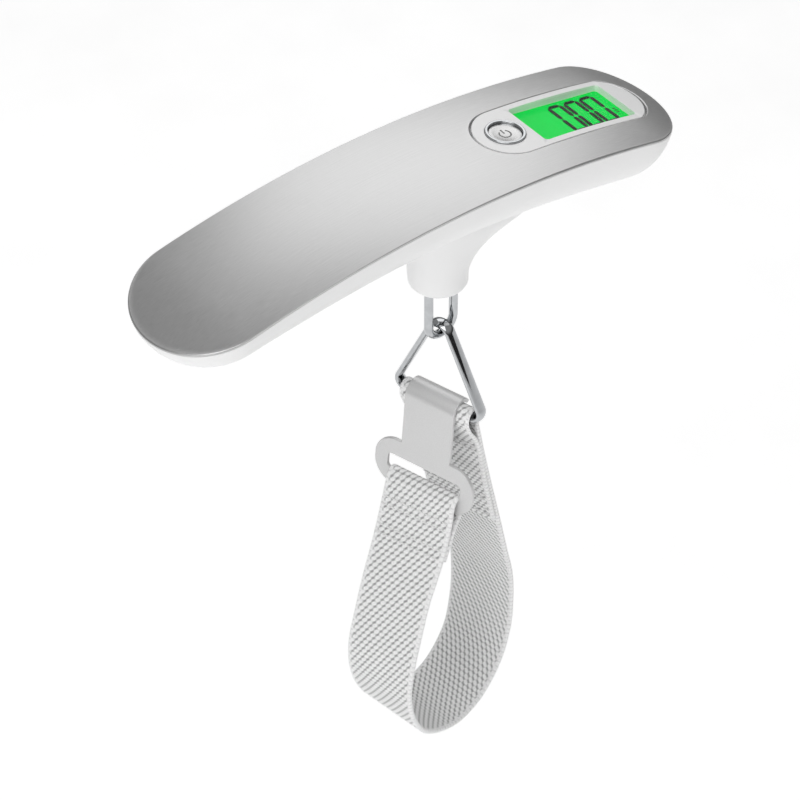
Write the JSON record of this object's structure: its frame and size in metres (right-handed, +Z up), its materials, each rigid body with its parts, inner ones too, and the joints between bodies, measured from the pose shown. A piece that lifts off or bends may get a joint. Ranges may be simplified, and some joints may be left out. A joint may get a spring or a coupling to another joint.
{
  "type": "digital luggage scale",
  "caption": "Arched hand-held luggage scale with a lit display and button on top, a short stem, and a swivelling link, triangular ring and flat hook that close a webbing strap loop.",
  "frame": {"origin": "on the pull axis, level with the highest point of the handle seam", "axes": "+X along the handle to the display, -Y to the side that the lower edge of the display faces, +Z up; the load hangs along -Z"},
  "size_m": [0.141, 0.0356, 0.18],
  "materials": {
    "brushed_steel_cover": "brushed",
    "white_abs": "smooth moulded",
    "screw_steel": "zinc plated",
    "clear_lens": "polished",
    "green_lcd": "backlit",
    "black_rubber": "moulded",
    "board_laminate": "solder mask",
    "black_epoxy": "moulded",
    "silver_button": "metallised",
    "polished_chrome": "polished",
    "cell_steel": "nickel plated",
    "black_plastic": "moulded",
    "milled_aluminium": "milled",
    "wire_rubber": "smooth",
    "satin_plate": "satin",
    "grey_webbing": "coarse woven"
  },
  "bodies": {
    "handle": {"top_cover": "brushed_steel_cover", "display_bezel": "white_abs", "upper_frame": "white_abs", "lower_housing": "white_abs", "housing_screws": "screw_steel", "display_window": "clear_lens", "lcd_panel": "green_lcd", "light_guide": "clear_lens", "elastomer_connectors": "black_rubber", "lcd_holder": "white_abs", "circuit_board": "board_laminate", "controller_chip": "black_epoxy", "board_components": "black_epoxy", "tact_switch": "screw_steel", "button_trim_ring": "polished_chrome", "coin_cell": "cell_steel", "battery_holder": "black_plastic", "battery_contact_negative": "cell_steel", "battery_contact_positive": "cell_steel", "load_cell": "milled_aluminium", "strain_gauges": "black_epoxy", "load_cell_screws": "screw_steel", "eye_washer": "screw_steel", "gauge_wires": "wire_rubber"},
    "button": {"power_button": "silver_button"},
    "plunger": {"switch_plunger": "black_epoxy"},
    "door": {"battery_door": "white_abs"},
    "eye": {"pull_eye": "polished_chrome", "eye_nut": "polished_chrome"},
    "link": {"oval_link": "polished_chrome"},
    "ring": {"triangle_ring": "polished_chrome"},
    "strap": {"webbing_strap": "grey_webbing"},
    "hook": {"strap_hook": "satin_plate", "strap_near_end": "grey_webbing"}
  },
  "joints": [
    {"name": "button_press", "type": "slide", "parent": "handle", "child": "button", "axis": [-0.1099, 0, -0.9939], "range_m": [0, 0.0003], "stiffness_N_per_m": 500},
    {"name": "plunger_press", "type": "slide", "parent": "handle", "child": "plunger", "axis": [-0.1099, 0, -0.9939], "range_m": [0, 0.0003]},
    {"name": "battery_door_slide", "type": "slide", "parent": "handle", "child": "door", "axis": [-0.1667, 0, -0.986], "range_m": [0, 0.015]},
    {"name": "eye_swivel", "type": "hinge", "parent": "handle", "child": "eye", "pos_m": [0, 0, 0], "axis": [0, 0, 1], "continuous": true},
    {"name": "link_tilt", "type": "hinge", "parent": "eye", "child": "link", "pos_m": [0, 0, -0.02915], "axis": [0.9962, 0.0872, 0], "range_deg": [-12, 12]},
    {"name": "ring_swing", "type": "hinge", "parent": "link", "child": "ring", "pos_m": [0, 0, -0.0475], "axis": [-0.2924, 0.9563, 0], "range_deg": [-45, 45]},
    {"name": "strap_swing", "type": "hinge", "parent": "ring", "child": "strap", "pos_m": [0, 0, -0.0723], "axis": [-0.2924, 0.9563, 0], "range_deg": [-25, 25]},
    {"name": "hook_swing", "type": "hinge", "parent": "strap", "child": "hook", "pos_m": [0, 0, -0.0723], "axis": [-0.2924, 0.9563, 0], "range_deg": [0, 40]}
  ],
  "couplings": [
    {"joint": "plunger_press", "follows": "button_press", "ratio": 1}
  ]
}
